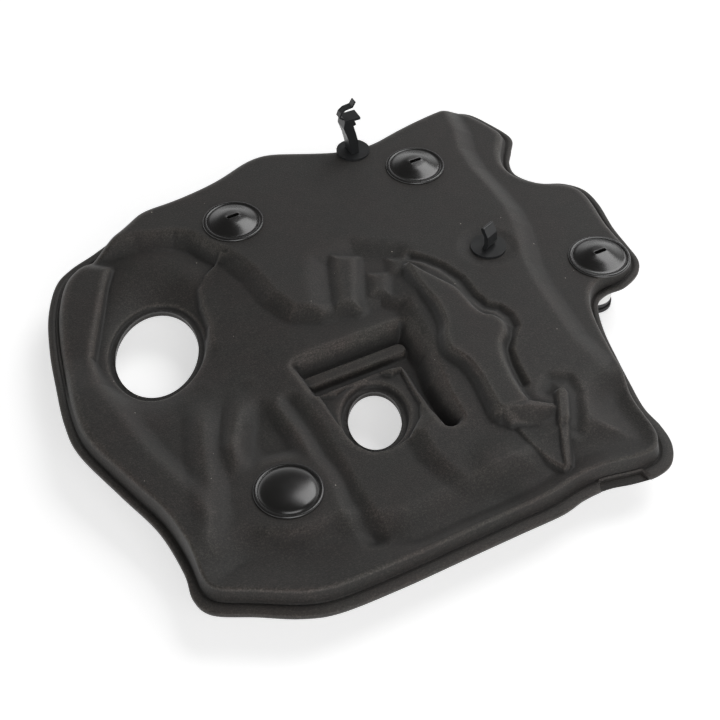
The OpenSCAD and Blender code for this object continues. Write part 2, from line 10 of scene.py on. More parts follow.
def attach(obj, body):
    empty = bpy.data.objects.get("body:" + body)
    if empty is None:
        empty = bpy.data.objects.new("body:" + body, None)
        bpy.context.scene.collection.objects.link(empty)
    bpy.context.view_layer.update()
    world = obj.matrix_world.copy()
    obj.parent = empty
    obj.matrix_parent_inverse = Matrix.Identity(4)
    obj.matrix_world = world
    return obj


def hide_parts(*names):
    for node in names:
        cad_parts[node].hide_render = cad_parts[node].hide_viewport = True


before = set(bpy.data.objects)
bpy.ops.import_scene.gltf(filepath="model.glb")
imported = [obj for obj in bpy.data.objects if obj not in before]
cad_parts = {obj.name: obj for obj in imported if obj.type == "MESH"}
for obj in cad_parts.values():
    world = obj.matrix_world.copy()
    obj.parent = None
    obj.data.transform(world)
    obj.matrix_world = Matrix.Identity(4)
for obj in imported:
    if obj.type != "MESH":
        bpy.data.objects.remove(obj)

bl_info = {
    "name": "Engine Cover",
    "version": (1, 0, 0),
    "blender": (4, 5, 0),
    "location": "View3D > Sidebar > Engine Cover",
    "description": "Builds the visible surfaces of a moulded engine cover and its studio",
    "category": "Object",
}

MM = 0.001

# Plan of the panel, in millimetres: corners of the outer edge of the lip
EDGE_CORNERS = [
    (-182, -151), (-161, -164), (-140, -177), (-119, -184), (-81, -186), (-41, -186),
    (-1, -186), (27, -186), (44, -183), (61, -183), (77, -187), (93, -189), (106, -185),
    (115, -173), (118, -158), (118, -141), (123, -119), (128, -99), (135, -74), (145, -53),
    (157, -47), (171, -47), (186, -41), (194, -31), (196, -16), (198, 4), (204, 30),
    (204, 48), (195, 61), (180, 70), (171, 85), (174, 99), (184, 112), (192, 125),
    (187, 148), (179, 166), (162, 174), (135, 172), (108, 167), (86, 162), (66, 166),
    (45, 176), (20, 188), (-1, 188), (-30, 178), (-62, 173), (-89, 172), (-107, 162),
    (-129, 152), (-148, 145), (-163, 134), (-178, 108), (-189, 76), (-196, 48),
    (-203, 15), (-204, -12), (-194, -52), (-185, -86), (-184, -118), (-187, -137)]
EDGE_POINTS = 960
# Notch in the front lip, from side to side
NOTCH_X = (58, 85)

# Heights above the mount feet
PLATEAU_Z, MIDDLE_Z, LOW_Z, LOBE_Z = 46, 39, 35, 40
PLATEAU_DIP, PLATEAU_FALL = 3, 6
BANK_Z = MIDDLE_Z + 1
BOWL_Z = 30
# Crest of the front edge, from left to right, and the valley behind it
LEFT_CREST_Z, RIGHT_CREST_Z = 36, 37
LEFT_VALLEY_DEPTH, RIGHT_VALLEY_DEPTH = 6.5, 3
LEFT_VALLEY_W, RIGHT_VALLEY_W = 32, 12
OVAL_RIM_Z, PORT_RIM_Z = 28, 29
TRENCH_Z, RIB_Z, PLATE_Z = 25, 30, 33
STRIP_Z, STRIP_END_Z = PLATEAU_Z + 4, PLATEAU_Z + 3
PAD_Z, PAD_END_Z = PLATEAU_Z - 6, PLATEAU_Z - 10
FINGER_FLOOR_Z = PLATEAU_Z - 4
LIP_Z, REAR_LIP_Z = 23, 30

# Thicknesses, widths and rounding
LIP_T = 3
LIP_W, FRONT_LIP_W = 5, 8
FRONT_CREST_R, REAR_CREST_R = 2, 5.5
FOAM_T = 9
RIM_W, RIM_T, RIM_BLEND = 5, 3.5, 0.7
RIB_W = 9.5
WALL_LEAN = 2

# Caps and clips: where each stands, and the height of its seat
CAPS = {
    "rear_left": ((-37, 122), PLATEAU_Z), "rear_right": ((103, 115), PLATEAU_Z),
    "right": ((165, -24), LOBE_Z), "front_left": ((-109, -101), LOW_Z)}
CLIPS = {"rear": ((73, 152), PLATEAU_Z), "right": ((102, 16), PLATEAU_Z - 1)}
# The cap whose crown has no slot
BLIND_CAP = "front_left"
CAP_HOLE_D, CLIP_HOLE_D = 13.4, 7.4
# Radius of each flat seat, and the radius where the felt has left its level
CAP_SEAT, CLIP_SEAT = (22.5, 36), (13.5, 22)
# Rounding of a cap's rim, top of its crown, and the slot for a tool
CAP_EDGE_R, CROWN_TOP_R = 1.3, 6
SLOT_L, SLOT_W = 9, 3

# Openings in plan
OVAL_AT, OVAL_L, OVAL_W = (-128, 47), 78, 53
PORT_AT, PORT_L, PORT_W = (-35, -72), 48, 33
HOLE_TURN = 62
# The rims shape the face no farther than this from the openings
RIM_REACH = 30

# Areas and lines of the relief in plan
HIGH_GROUND = [
    (-261, 150), (-136, 144), (-101, 140), (-77, 131), (-61, 118), (-54, 98), (-48, 73),
    (-47, 46), (-41, 26), (-25, 16), (17, 12), (27, -2), (23, -32), (11, -72), (-3, -90),
    (-21, -98), (-24, -117), (-20, -137), (-13, -154), (-13, -260), (260, -260),
    (260, 260), (-261, 260)]
LOBE = [
    (174, 260), (161, 155), (157, 138), (148, 117), (144, 95), (143, 66), (141, 44),
    (137, 28), (129, 8), (121, -11), (116, -31), (113, -52), (109, -82), (111, -112),
    (260, -112), (260, 260)]
BANK = [
    (-261, 148), (-151, 140), (-129, 127), (-143, 104), (-156, 83), (-171, 58),
    (-175, 31), (-173, 3), (-169, -37), (-161, -72), (-159, -97), (-167, -120),
    (-261, -132)]
CREASE = [(-129, 127), (-143, 104), (-156, 83), (-171, 58)]
BESIDE_BOWL = [
    (-54, 98), (-57, 101), (-73, 91), (-83, 81), (-88, 66), (-91, 48), (-101, 28),
    (-119, 7), (-130, -8), (-60, -60), (-10, 0), (-10, 98)]
BOWL_FOOT = [(-57, 101), (-73, 91), (-83, 81), (-88, 66), (-91, 48)]
TRENCH = [
    (-57, -15), (15, -16), (13, -44), (7, -64), (4, -84), (3, -101), (1, -101), (0, -80),
    (1, -60), (3, -42), (-12, -39), (-57, -39)]
PLATE = [
    (-58, -43), (-48, -46), (-40, -43), (-14, -43), (-9, -48), (-2, -47), (-4, -62),
    (-6, -78), (-12, -88), (-26, -99), (-40, -102), (-52, -99), (-58, -88), (-59, -66)]
RIB = [(-54.5, -24.8), (8.5, -25.6)]
STRIP = [
    (45, 26), (49, 15), (54, 3), (59, -9), (60, -19), (60, -32), (62, -40), (67, -45),
    (69, -53), (66, -61), (58, -68), (52, -80), (48, -95), (46, -108), (44, -117),
    (28, -115), (28, -104), (31, -85), (31, -70), (27, -57), (30, -46), (37, -34),
    (41, -17), (41, -2), (42, 14)]
GROOVE = [
    (52, 33), (58, 25), (64, 14), (68, -2), (67, -19), (69, -32), (75, -38), (77, -47),
    (75, -56), (67, -63), (60, -71), (56, -84), (53, -100)]
SLOPE = [(28, -113), (44, -115), (60, -123), (61, -132), (52, -138), (38, -130), (30, -124)]
PAD = [(31, -119), (52, -132), (62, -139), (46, -164), (41, -165), (36, -155), (32, -140)]
BAR = [(69, -119), (58, -138), (43, -164)]
TROUGH = [(63, -112), (71, -106), (79, -111), (78, -121), (72, -131), (63, -144)]
FINGER_HOLLOW = [
    (-17, 14), (-19, 23), (-11, 42), (-3, 58), (22, 60), (46, 42), (44, 20), (28, 4), (0, 4)]
# Fingers in the hollow, each with its depth below the plateau
FINGERS = [
    ([(6, 60), (20, 51), (8, 28), (-2, 10), (-13, 16), (-4, 37)], 0.5),
    ([(20, 33), (31, 28), (22, 11), (12, 16)], 2.2),
    ([(38, 40), (48, 34), (42, 22), (33, 27)], 1.8)]
# Folds in front of the bowl, each with its height and its reach to either side
FOLDS = [
    ([(-120, -4), (-128, -22), (-138, -46), (-149, -78), (-160, -112)], 4, 13),
    ([(-94, -14), (-109, -36), (-122, -56), (-134, -84)], 4.5, 12),
    ([(-84, -24), (-84, -60), (-86, -96)], 2, 9)]
HOLLOW_AT, HOLLOW_DEPTH = (-100, -58), 4.5
LONG_FOLD = [(-76, -40), (-75, -62), (-77, -90), (-79, -121), (-80, -152)]
LONG_FOLD_DEPTH = 2.5
MOUND, MOUND_RISE = [(12, -144), (24, -160)], 2
GROOVE_DEPTH, TROUGH_DEPTH = 2.4, 1.8

# Windows that hold the trench with its plate, and the strip with the fingers
TRENCH_WINDOW, STRIP_WINDOW = (-85, 50, -125, 15), (-40, 95, -180, 75)
# Lines in x where the bowl and the bank end, and where the lobe starts
BOWL_END, BANK_END, LOBE_START = -40, -100, 90

# Level of painted light on the felt where it is flat: 1 gives the painted highlight of a crest and
# 0 the painted shade of a crease
FLAT = 0.5


def ease(a, b, x):
    """Smooth step from 0 at a to 1 at b."""
    t = np.clip((x - a)/(b - a), 0, 1)
    return t*t*(3 - 2*t)


def between(a, b, share):
    """Value between a and b: a where the share is 0, b where it is 1."""
    return a + (b - a)*share


def soft_min(a, b, r):
    """Lower of two heights, with the corner between them rounded by about r."""
    h = np.maximum(r - np.abs(a - b), 0)/r
    return np.minimum(a, b) - h*h*r/4


def soft_max(a, b, r):
    """Higher of two heights, with the corner between them rounded by about r."""
    return -soft_min(-a, -b, r)


def turn(points, degrees):
    """Points turned anticlockwise about the origin."""
    c, s = math.cos(math.radians(degrees)), math.sin(math.radians(degrees))
    return points @ np.array([[c, s], [-s, c]])


def off_path(p, line, closed=False):
    """Distance of each point from a line through corners."""
    line = np.asarray(line, float)
    ends = np.roll(line, -1, 0) if closed else line[1:]
    best = np.full(len(p), 1e9)
    for a, b in zip(line, ends):
        ab = b - a
        t = np.clip((p - a) @ ab/(ab @ ab), 0, 1)
        best = np.minimum(best, np.hypot(*(p - a - t[:, None]*ab).T))
    return best


def inside(p, area):
    """True where a point lies in an area."""
    area = np.asarray(area, float)
    odd = np.zeros(len(p), bool)
    for a, b in zip(area, np.roll(area, -1, 0)):
        if a[1] != b[1]:
            crossing = (a[1] > p[:, 1]) != (b[1] > p[:, 1])
            odd ^= crossing & (p[:, 0] < (b[0] - a[0])*(p[:, 1] - a[1])/(b[1] - a[1]) + a[0])
    return odd


def off_area(p, area):
    """Distance from the edge of an area, negative inside it."""
    d = off_path(p, area, closed=True)
    return np.where(inside(p, area), -d, d)


def off_ellipse(p, at, length, width, degrees):
    """Close to the distance from the edge of an oval, negative inside it."""
    q = turn(p - np.asarray(at, float), -degrees)
    k = np.hypot(q[:, 0]/(length/2), q[:, 1]/(width/2))
    return (k - 1)*np.hypot(*q.T)/np.maximum(k, 1e-3)


def off_oval(p):
    """Distance from the edge of the oval opening."""
    return off_ellipse(p, OVAL_AT, OVAL_L, OVAL_W, HOLE_TURN)


def off_port(p):
    """Distance from the edge of the smaller opening."""
    return off_ellipse(p, PORT_AT, PORT_L, PORT_W, HOLE_TURN)


def smooth_loop(corners, steps=12):
    """Closed smooth curve through corners."""
    p = np.asarray(corners, float)
    a, c, d = np.roll(p, 1, 0), np.roll(p, -1, 0), np.roll(p, -2, 0)
    rows = [0.5*(2*p + (c - a)*t + (2*a - 5*p + 4*c - d)*t*t + (3*p - a - 3*c + d)*t**3)
            for t in np.arange(steps)/steps]
    return np.stack(rows, 1).reshape(-1, 2)


def even_loop(points, count):
    """Points spaced evenly along a closed line."""
    closed = np.vstack([points, points[:1]])
    run = np.concatenate([[0], np.cumsum(np.hypot(*np.diff(closed, axis=0).T))])
    at = np.arange(count)*run[-1]/count
    return np.stack([np.interp(at, run, closed[:, k]) for k in (0, 1)], 1)


def ellipse(at, length, width, degrees, count):
    """Points round an oval whose length is turned away from the x axis."""
    a = np.linspace(0, 2*math.pi, count, endpoint=False)
    oval = np.stack([np.cos(a)*length/2, np.sin(a)*width/2], 1)
    return turn(oval, degrees) + np.asarray(at, float)


def inward(loop):
    """Unit vectors that point into a loop that runs anticlockwise."""
    d = np.roll(loop, -1, 0) - np.roll(loop, 1, 0)
    d /= np.hypot(*d.T)[:, None]
    return np.stack([-d[:, 1], d[:, 0]], 1)


EDGE = even_loop(smooth_loop(EDGE_CORNERS), EDGE_POINTS)
# Step between the inset loops, and how far in they reach
MARCH, INSET_REACH = 0.5, 22


def inset_loops(loop, depth):
    """Loops that march inward from the edge in equal steps and never fold over themselves."""
    loops = [loop]
    for _ in range(int(depth/MARCH) + 2):
        p = loops[-1] + inward(loops[-1])*MARCH
        for _ in range(2):
            p = 0.5*p + 0.25*(np.roll(p, 1, 0) + np.roll(p, -1, 0))
        loops.append(p)
    return np.array(loops)


INSETS = inset_loops(EDGE, INSET_REACH)


def inset_loop(inset, stride=1):
    """Edge loop moved inward by a distance that may differ from point to point."""
    at = np.broadcast_to(inset, EDGE_POINTS)/MARCH
    low = at.astype(int)
    index = np.arange(EDGE_POINTS)
    part = (at - low)[:, None]
    return (INSETS[low, index]*(1 - part) + INSETS[low + 1, index]*part)[::stride]


def lip_width(y):
    """The lip is wider along the front edge."""
    return between(LIP_W, FRONT_LIP_W, ease(-120, -160, y))


def lip_height(y):
    """The underside of the lip rises towards the rear."""
    return between(LIP_Z, REAR_LIP_Z, ease(-150, 30, y))


def crest_round(y):
    """Radius of the crest above the edge wall, tighter at the front."""
    return between(FRONT_CREST_R, REAR_CREST_R, ease(-140, 100, y))


def raised(ground, top, off, slope, fillet=2.0, crown=2.0):
    """Ground with a raised form on it: flat at top inside an area and falling outside it."""
    form = soft_min(top, top - slope*(off + crown/2), crown)
    return soft_max(ground, form, fillet)


def sunk(ground, floor, off, slope, fillet=2.0, crown=2.0):
    """Ground with a sunk form in it: flat at floor inside an area and rising outside it."""
    form = soft_max(floor, floor + slope*(off + fillet/2), fillet)
    return soft_min(ground, form, crown)


def bowl_height(p):
    """Bowl round the oval opening, from the crease at the bank up to a low hump and down again."""
    x, y = p.T
    along, across = turn(p - np.array(CREASE[3], float), -HOLE_TURN).T
    # Nearly level along the crease, it rises to the right of it, and faster in front of it
    away = 0.25*soft_max(0, -along - 15, 20) + 0.4*np.maximum(0, -across - 62)*ease(85, 55, y)
    fall = 0.32*soft_max(0, x + 98, 16)*ease(40, 75, y)
    side = BOWL_Z + 0.05*np.maximum(0, along) + 0.15*np.maximum(0, -across) + away - fall
    return soft_min(side, BOWL_Z + 0.3*np.maximum(0, off_oval(p) - 5), 4)


def add_bowl(p, ground):
    """Ground with the bowl in it: its foot is sharp, and it blends softly farther away."""
    y = p[:, 1]
    bowl = bowl_height(p)
    low_bowl = soft_min(bowl, ground, 3)
    bowl = between(low_bowl, bowl, ease(60, 85, y))
    soft = 1.5 + 22*ease(5, 45, off_path(p, BOWL_FOOT))
    return between(bowl, ground, ease(soft, -soft, off_area(p, BESIDE_BOWL)))


def add_bank(p, ground):
    """Ground with the bank along the left edge, which falls steeply beside the bowl."""
    off = off_area(p, BANK)
    slope = 0.4 + 1.4*ease(0, 75, p[:, 1])*ease(140, 108, p[:, 1])
    bank = BANK_Z - 3*ease(-2, 26, off) - slope*soft_max(0, off, 3)
    return soft_max(ground, soft_min(ground + 6, bank, 3), 2)


def add_front_valley(p, inset, ground):
    """Valley behind the crest of the front edge: a long slope at the left, short at the right."""
    x, y = p.T
    width = between(LEFT_VALLEY_W, RIGHT_VALLEY_W, ease(-100, -56, x))
    depth = between(LEFT_VALLEY_DEPTH, RIGHT_VALLEY_DEPTH, ease(20, 70, x))
    crest = between(LEFT_CREST_Z, RIGHT_CREST_Z, ease(20, 60, x))
    behind = between(crest - depth, ground, ease(width, width + 24, inset))
    form = np.where(inset < width, crest - depth*ease(-0.3*width, width, inset), behind)
    return between(ground, form, ease(-108, -135, y))


def add_folds(p, ground):
    """Ground with the folds, the hollow behind the front left cap, the mound and the long fold."""
    z = ground
    for line, rise, width in FOLDS:
        ends = np.minimum(*[np.hypot(*(p - np.array(end)).T) for end in (line[0], line[-1])])
        z = z + rise*ease(width, 0, off_path(p, line))*ease(0, 34, ends)
    from_hollow = np.hypot(p[:, 0] - HOLLOW_AT[0], 0.7*(p[:, 1] - HOLLOW_AT[1]))
    z = z - HOLLOW_DEPTH*ease(26, 6, from_hollow)
    z = z + MOUND_RISE*ease(24, 4, off_path(p, MOUND))
    return z - LONG_FOLD_DEPTH*ease(10, 0, off_path(p, LONG_FOLD))


def ground_height(p, inset):
    """Broad levels of the cover, where inset is the distance from the crest of its edge."""
    x, y = p.T
    # The plateau lies lower in its front left part, and falls towards the front edge
    high = PLATEAU_Z - PLATEAU_DIP*ease(20, -20, y)*ease(60, 30, x) \
        - PLATEAU_FALL*ease(-50, -165, y)
    middle = LOW_Z + (MIDDLE_Z - LOW_Z)*ease(-110, -40, x)*ease(-110, -10, y)
    middle = np.where(x > BOWL_END, middle, add_bowl(p, middle))
    z = between(middle, high, ease(9, -6, off_area(p, HIGH_GROUND)))
    z = np.where(x > BANK_END, z, add_bank(p, z))
    lobe = between(LOBE_Z, z, ease(-8, 8, off_area(p, LOBE)))
    z = np.where(x < LOBE_START, z, lobe)
    return add_folds(p, add_front_valley(p, inset, z))


def add_trench(p, ground):
    """The trench with its rib, and the plate round the smaller opening."""
    z = sunk(ground, TRENCH_Z, off_area(p, TRENCH), slope=2, fillet=3, crown=5)
    z = sunk(z, PLATE_Z, off_area(p, PLATE), slope=3, fillet=1.5, crown=1.5)
    return raised(z, RIB_Z, off_path(p, RIB) - RIB_W/2, slope=3, fillet=2, crown=1.2)


def add_strip(p, ground):
    """The fingers in their hollow, and the strip with its groove, pad, end slope and bar."""
    x, y = p.T
    z = sunk(ground, FINGER_FLOOR_Z, off_area(p, FINGER_HOLLOW), slope=0.6, fillet=5, crown=5)
    for area, drop in FINGERS:
        z = raised(z, PLATEAU_Z - drop, off_area(p, area), slope=0.9, fillet=3, crown=3)
    z = z - GROOVE_DEPTH*ease(5.5, 0, off_path(p, GROOVE)) \
        - TROUGH_DEPTH*ease(8, 0, off_path(p, TROUGH))
    strip = off_area(p, smooth_loop(STRIP, 4))
    strip_top = between(STRIP_Z, STRIP_END_Z, ease(-60, -112, y))
    z = raised(z, strip_top, strip, slope=1.6, fillet=3, crown=2)
    pad_top = between(PAD_Z, PAD_END_Z, ease(-126, -163, y))
    z = raised(z, pad_top, off_area(p, PAD), slope=1.5, fillet=2, crown=1.5)
    # The end slope falls away from an edge that is highest beside the strip
    below_edge = 0.94*(-115 - y) - 0.34*(x - 28)
    slope_edge = np.interp(x, [28, 44, 60], [STRIP_END_Z, 48, 43.5])
    slope_top = slope_edge - 0.7*np.clip(below_edge, 0, 11)
    z = raised(z, slope_top, off_area(p, SLOPE), slope=1.5, fillet=1.5, crown=1.5)
    # The bar falls and narrows towards its front end
    bar_top = np.interp(y, [-164, -140, -136, -118], [36.5, 41, 44, 46])
    bar_half = np.interp(y, [-164, -140], [1.5, 3.2])
    return raised(z, bar_top, off_path(p, BAR) - bar_half, slope=2, fillet=1.5, crown=1.5)


def within(p, window):
    """True where a point lies in a window, given by its sides in x and then in y."""
    x, y = p.T
    left, right, front, rear = window
    return (x > left) & (x < right) & (y > front) & (y < rear)


def seated(p, z, at, level, seat):
    """Face with a flat round seat on it."""
    return between(level, z, ease(*seat, np.hypot(p[:, 0] - at[0], p[:, 1] - at[1])))


def face_height(p, inset):
    """Top of the panel, with its seats, trench, strip and rims."""
    z = ground_height(p, inset)
    for window, add_forms in ((TRENCH_WINDOW, add_trench), (STRIP_WINDOW, add_strip)):
        near = within(p, window)
        z[near] = add_forms(p[near], z[near])
    for at, level in CAPS.values():
        z = seated(p, z, at, level, CAP_SEAT)
    for at, level in CLIPS.values():
        z = seated(p, z, at, level, CLIP_SEAT)
    off = off_oval(p)
    rim = sunk(z, OVAL_RIM_Z, off - RIM_W + RIM_BLEND, slope=3, fillet=1.2, crown=2)
    z = np.where(off > RIM_REACH, z, rim)
    off = off_port(p)
    rim = sunk(z, PORT_RIM_Z, off - RIM_W + RIM_BLEND, slope=3, fillet=1.2, crown=1.5)
    return np.where(off > RIM_REACH, z, rim)


def distance_field(step=2.0, margin=4):
    """Distance from the edge at the points of a coarse grid."""
    lo, hi = EDGE.min(0) - margin, EDGE.max(0) + margin
    gx, gy = np.meshgrid(np.arange(lo[0], hi[0], step), np.arange(lo[1], hi[1], step))
    d = off_path(np.stack([gx.ravel(), gy.ravel()], 1), EDGE[::3], closed=True)
    return lo, step, d.reshape(gx.shape)


EDGE_FIELD = distance_field()


def inset_of(p):
    """Distance of each point inside the crest line of the edge."""
    lo, step, d = EDGE_FIELD
    at = (p - lo)/step
    i = np.clip(at[:, 0].astype(int), 0, d.shape[1] - 2)
    j = np.clip(at[:, 1].astype(int), 0, d.shape[0] - 2)
    u, v = at[:, 0] - i, at[:, 1] - j
    front = d[j, i]*(1 - u) + d[j, i + 1]*u
    rear = d[j + 1, i]*(1 - u) + d[j + 1, i + 1]*u
    return front*(1 - v) + rear*v - lip_width(p[:, 1]) - WALL_LEAN


def face_at(p):
    """Top of the panel at points in plan."""
    return face_height(p, inset_of(p))


def face_around(p, reach):
    """Top of the panel at four places round each point."""
    return [face_at(p + np.array(way)*reach) for way in ((1, 0), (-1, 0), (0, 1), (0, -1))]


def under_at(p, clear=6, thinnest=2.5):
    """Underside of the panel, kept below the forms that are sunk in its face."""
    low = np.min([face_at(p), *face_around(p, clear)], 0)
    z = between(low - FOAM_T, OVAL_RIM_Z - RIM_T, ease(24, 8, off_oval(p)))
    z = between(z, PORT_RIM_Z - RIM_T, ease(20, 6, off_port(p)))
    return np.minimum(z, low - thinnest)


def pressed_at(p, close=1.6):
    """Painted light from how convex the face is at each point: 0.5 where it is flat, 1 for a
    painted highlight on a crest, 0 for painted shade in a crease.
    """
    here, light_tone = face_at(p), FLAT
    for reach, weight in ((close, 1.5), (3*close, 0.22)):
        light_tone = light_tone + weight*(here - np.mean(face_around(p, reach), 0))
    return np.clip(light_tone, 0, 1)


class Skin:
    """Collects the vertices and faces of one mesh, in millimetres."""

    def __init__(self):
        self.points = []
        self.faces = []
        self.count = 0

    def add(self, points):
        """Adds points and returns their numbers."""
        points = np.asarray(points, float)
        self.points.append(points)
        first = self.count
        self.count += len(points)
        return np.arange(first, self.count)

    def band(self, a, b, flip=False):
        """Quads between two closed rows of the same length."""
        quads = np.stack([a, np.roll(a, -1), np.roll(b, -1), b], 1)
        self.faces += (quads[:, ::-1] if flip else quads).tolist()

    def fill(self, outer, holes, inner, height, flip=False):
        """Triangles between an outer row, the rows of holes and loose points in between."""
        loops = [outer, *holes]
        rim = np.concatenate(loops)
        index = np.concatenate([rim, inner]).astype(int)
        xy = np.vstack(self.points)[index, :2]
        edges, first = [], 0
        for loop in loops:
            n = len(loop)
            edges += [(first + i, first + (i + 1) % n) for i in range(n)]
            first += n
        result = delaunay_2d_cdt([Vector(v) for v in xy.tolist()], edges, [], 0, 1e-6, True)
        index, origin = index.tolist(), []
        for place, source in zip(result[0], result[3]):
            origin.append(source[0] if source else len(index))
            if not source:
                index += self.add(with_z(np.array([place]), height(np.array([place])))).tolist()
                xy = np.vstack([xy, place])
        index = np.array(index)
        tris = np.array(origin)[np.array(result[2])]
        doubtful = ((tris < len(rim)) | (tris >= len(rim) + len(inner))).all(1)
        middle = xy[tris[doubtful]].mean(1)
        out = ~inside(middle, xy[:len(outer)])
        first = len(outer)
        for hole in holes:
            out |= inside(middle, xy[first:first + len(hole)])
            first += len(hole)
        keep = np.ones(len(tris), bool)
        keep[np.flatnonzero(doubtful)[out]] = False
        tris = index[tris[keep]]
        self.faces += (tris[:, ::-1] if flip else tris).tolist()

    def object(self, name, material, smooth_angle=None):
        """Makes the mesh in metres, with sharp edges where faces meet at more than the angle."""
        mesh = bpy.data.meshes.new(name)
        mesh.from_pydata((np.vstack(self.points)*MM).tolist(), [], self.faces)
        mesh.validate()
        mesh.shade_smooth()
        if smooth_angle:
            mesh.set_sharp_from_angle(angle=math.radians(smooth_angle))
        mesh.materials.append(material)
        piece = bpy.data.objects.new(name, mesh)
        bpy.context.scene.collection.objects.link(piece)
        return piece


def with_z(xy, z):
    """Points in plan raised to their heights."""
    return np.column_stack([xy, np.broadcast_to(z, len(xy))])


# Bends over one grid step that call for closer points, and for points twice as close again
FINE_BEND, SHARP_BEND = 0.05, 0.3


def grid_points(height, outer, holes, step):
    """Points of a square grid inside a loop, closer together where the surface bends."""
    lo, hi = outer.min(0), outer.max(0)
    xs = np.arange(lo[0], hi[0], step)
    ys = np.arange(lo[1], hi[1], step)
    gx, gy = np.meshgrid(xs, ys)
    p = np.stack([gx.ravel(), gy.ravel()], 1)
    z = height(p).reshape(gx.shape)
    bend = np.zeros_like(z)
    bend[1:-1] += np.abs(z[2:] + z[:-2] - 2*z[1:-1])
    bend[:, 1:-1] += np.abs(z[:, 2:] + z[:, :-2] - 2*z[:, 1:-1])
    row, col = np.indices(z.shape)
    coarse = (row % 2 == 0) & (col % 2 == 0)
    sharp = (bend > SHARP_BEND).ravel()
    points = [p[(coarse | (bend > FINE_BEND)).ravel()]]
    for shift in ((0.5, 0), (0, 0.5), (0.5, 0.5)):
        points.append(p[sharp] + np.array(shift)*step)
    p = np.vstack(points)
    keep = inside(p, outer) & (off_path(p, outer[::2], closed=True) > 0.5*step)
    for hole in holes:
        keep &= ~inside(p, hole) & (off_path(p, hole, closed=True) > 0.5*step)
    return p[keep]


def panel_holes():
    """Loops of the two openings, then of the holes under the caps and clips."""
    loops = [ellipse(OVAL_AT, OVAL_L, OVAL_W, HOLE_TURN, 128),
             ellipse(PORT_AT, PORT_L, PORT_W, HOLE_TURN, 96)]
    loops += [ellipse(at, CAP_HOLE_D, CAP_HOLE_D, 0, 24) for at, _ in CAPS.values()]
    return loops + [ellipse(at, CLIP_HOLE_D, CLIP_HOLE_D, 0, 16) for at, _ in CLIPS.values()]


def press(piece, light_tone):
    """Stores on each point the painted highlight or painted shade that the felt's colour gets
    there.
    """
    layer = piece.data.attributes.new("pressed", "FLOAT", "POINT")
    layer.data.foreach_set("value", light_tone)


def edge_rows(crest_z):
    """Insets, heights and painted light levels of the rows from under the lip, up the wall and
    round its crest: painted highlight on the lip's edge and the crest, painted shade at the foot of
    the wall.
    """
    x, y = EDGE.T
    width, low, r = lip_width(y), lip_height(y), crest_round(y)
    top = low + LIP_T
    notch = ease(NOTCH_X[0] - 2, NOTCH_X[0], x)*ease(NOTCH_X[1] + 2, NOTCH_X[1], x)*(y < -150)
    cut = (width - 1.2)*notch
    rows = [
        (cut + 0.3, low - 0.2, 0.6), (cut, low + 0.4, FLAT), (cut, top - 1, FLAT),
        (cut + 0.3, top - 0.4, 0.85), (cut + 1, top - 0.05, 0.8),
        (np.maximum(cut + 1.05, width - 2.2), top + 0.15, FLAT),
        (np.maximum(cut + 1.1, width - 1.1), top - 0.1, FLAT),
        (width - 0.3, top - 0.9, 0.3), (width + 0.2, top - 0.7, 0.2),
        (width + 0.6, top + 0.5, 0.3)]
    for f in (0.2, 0.4, 0.6, 0.8):
        rows.append((width + 0.6 + (WALL_LEAN - 0.6)*f,
                     top + 0.5 + (crest_z - r - top - 0.5)*f, FLAT))
    # Painted highlight round the crest of the edge
    for degrees, light_tone in ((0, FLAT), (18, 0.7), (36, 0.95), (54, 1), (72, 0.9)):
        a = math.radians(degrees)
        rows.append((width + WALL_LEAN + r*(1 - math.cos(a)),
                     crest_z - r*(1 - math.sin(a)), light_tone))
    return rows


def panel_face(material, step):
    """Top of the panel with its edge wall and lip."""
    skin = Skin()
    y = EDGE[:, 1]
    crest_xy = inset_loop(lip_width(y) + WALL_LEAN + crest_round(y))
    crest_z = face_at(crest_xy)
    rows, light_tones = [], []
    for inset, z, level in edge_rows(crest_z):
        rows.append(skin.add(with_z(inset_loop(inset), z)))
        light_tones.append(level)
    rows.append(skin.add(with_z(crest_xy, crest_z)))
    # The crest of the edge always gets at least this much painted highlight
    light_tones.append(np.maximum(pressed_at(crest_xy), 0.75))
    for a, b in zip(rows, rows[1:]):
        skin.band(a, b)

    holes = panel_holes()
    inner = grid_points(face_at, crest_xy, holes, step)
    inner_rows = skin.add(with_z(inner, face_at(inner)))
    hole_rows = [skin.add(with_z(hole, face_at(hole))) for hole in holes]
    skin.fill(rows[-1], hole_rows, inner_rows, face_at)
    # Cut edges of the two openings
    for hole, top_row, rim_z in zip(holes, hole_rows, (OVAL_RIM_Z, PORT_RIM_Z)):
        for f in (0.5, 0.97):
            next_row = skin.add(with_z(hole, face_at(hole)*(1 - f) + (rim_z - RIM_T)*f))
            skin.band(next_row, top_row)
            top_row = next_row
    piece = skin.object("panel_face", material)
    # Painted highlight on crests and painted shade in creases, from the edge rows and the face's
    # shape
    light_tone = np.full(len(piece.data.vertices), FLAT)
    for row, level in zip(rows, light_tones):
        light_tone[row] = level
    light_tone[inner_rows] = pressed_at(inner)
    press(piece, light_tone)
    return piece


